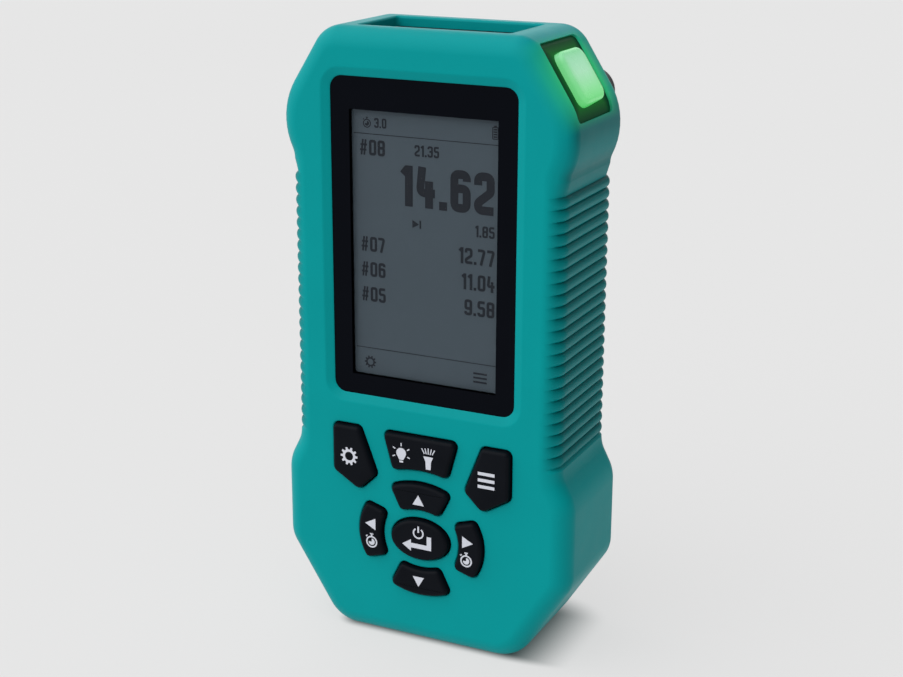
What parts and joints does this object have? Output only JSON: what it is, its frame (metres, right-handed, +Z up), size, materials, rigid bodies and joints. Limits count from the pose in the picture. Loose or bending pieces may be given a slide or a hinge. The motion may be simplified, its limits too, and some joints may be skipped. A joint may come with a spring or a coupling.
{
  "type": "shot timer",
  "caption": "Hand-held shot timer: waisted body in a ribbed silicone sleeve, tall screen, sprung keys, lit corner start button, hinged battery door and sprung belt clip.",
  "frame": {"origin": "middle of the foot, on the plane the timer stands on, at the sleeve's mid-depth", "axes": "+Z up along the body, -Y the way the screen faces, +X to the right of someone who reads the screen"},
  "size_m": [0.0704, 0.0414, 0.1382],
  "materials": {
    "sleeve_silicone": "satin teal silicone",
    "case_plastic": "black moulded plastic",
    "seal_rubber": "grey rubber",
    "screw_steel": "plated steel",
    "screen_glass": "clear with a black printed border",
    "gasket_black": "black foam",
    "lcd_glass": "grey reflective display",
    "light_guide": "white light guide",
    "frame_plastic": "white plastic",
    "board_green": "green solder mask",
    "mat_rubber": "grey rubber",
    "dome_steel": "thin sprung steel",
    "start_frame_plastic": "dark translucent green",
    "start_green": "lit translucent green",
    "switch_plastic": "grey plastic",
    "lamp_plastic": "pale lamp body",
    "buzzer_plastic": "black plastic",
    "microphone_metal": "bare can",
    "torch_clear": "clear lens",
    "cell_can": "wrapped cell",
    "contact_metal": "plated contact metal",
    "door_plastic": "black moulded plastic",
    "clip_plastic": "black moulded plastic",
    "pin_steel": "plain steel",
    "spring_steel": "spring wire",
    "key_plastic": "black with pale pictograms"
  },
  "bodies": {
    "case": {"silicone_sleeve": "sleeve_silicone", "front_case": "case_plastic", "rear_case": "case_plastic", "case_seal": "seal_rubber", "case_screws": "screw_steel", "screen_lens": "screen_glass", "lens_gasket": "gasket_black", "lcd_panel": "lcd_glass", "backlight_panel": "light_guide", "display_frame": "frame_plastic", "main_board": "board_green", "board_screws": "screw_steel", "keypad_mat": "mat_rubber", "snap_domes": "dome_steel", "start_frame": "start_frame_plastic", "start_board": "board_green", "start_switch": "switch_plastic", "start_lamps": "lamp_plastic", "top_panel": "case_plastic", "buzzer": "buzzer_plastic", "microphone": "microphone_metal", "torch_lamp": "lamp_plastic", "torch_lens": "torch_clear", "aa_cells": "cell_can", "cell_plates": "contact_metal", "cell_springs": "contact_metal", "clip_base": "clip_plastic", "clip_pin": "pin_steel", "clip_spring": "spring_steel", "clip_screws": "screw_steel"},
    "settings_key": {"key_settings": "key_plastic"},
    "light_key": {"key_light": "key_plastic"},
    "menu_key": {"key_menu": "key_plastic"},
    "up_key": {"key_up": "key_plastic"},
    "down_key": {"key_down": "key_plastic"},
    "left_key": {"key_left": "key_plastic"},
    "right_key": {"key_right": "key_plastic"},
    "enter_key": {"key_enter": "key_plastic"},
    "start": {"start_button": "start_green"},
    "door": {"battery_door": "door_plastic"},
    "clip": {"clip_lever": "clip_plastic"}
  },
  "joints": [
    {"name": "settings_press", "type": "slide", "parent": "case", "child": "settings_key", "axis": [0, 1, 0], "range_m": [0, 0.0008], "stiffness_N_per_m": 1500, "springref_m": -0.0002},
    {"name": "light_press", "type": "slide", "parent": "case", "child": "light_key", "axis": [0, 1, 0], "range_m": [0, 0.0008], "stiffness_N_per_m": 1500, "springref_m": -0.0002},
    {"name": "menu_press", "type": "slide", "parent": "case", "child": "menu_key", "axis": [0, 1, 0], "range_m": [0, 0.0008], "stiffness_N_per_m": 1500, "springref_m": -0.0002},
    {"name": "up_press", "type": "slide", "parent": "case", "child": "up_key", "axis": [0, 1, 0], "range_m": [0, 0.0008], "stiffness_N_per_m": 1500, "springref_m": -0.0002},
    {"name": "down_press", "type": "slide", "parent": "case", "child": "down_key", "axis": [0, 1, 0], "range_m": [0, 0.0008], "stiffness_N_per_m": 1500, "springref_m": -0.0002},
    {"name": "left_press", "type": "slide", "parent": "case", "child": "left_key", "axis": [0, 1, 0], "range_m": [0, 0.0008], "stiffness_N_per_m": 1500, "springref_m": -0.0002},
    {"name": "right_press", "type": "slide", "parent": "case", "child": "right_key", "axis": [0, 1, 0], "range_m": [0, 0.0008], "stiffness_N_per_m": 1500, "springref_m": -0.0002},
    {"name": "enter_press", "type": "slide", "parent": "case", "child": "enter_key", "axis": [0, 1, 0], "range_m": [0, 0.0008], "stiffness_N_per_m": 1500, "springref_m": -0.0002},
    {"name": "start_press", "type": "slide", "parent": "case", "child": "start", "axis": [-0.8453, 0, -0.5343], "range_m": [0, 0.001], "stiffness_N_per_m": 1500, "springref_m": -0.0003},
    {"name": "door_hinge", "type": "hinge", "parent": "case", "child": "door", "pos_m": [0, 0.013, 0.0124], "axis": [-1, 0, 0], "range_deg": [0, 85]},
    {"name": "clip_hinge", "type": "hinge", "parent": "case", "child": "clip", "pos_m": [0, 0.0196, 0.112], "axis": [1, 0, 0], "range_deg": [0, 12], "stiffness_Nm_per_rad": 0.4, "springref_deg": -14.32}
  ]
}
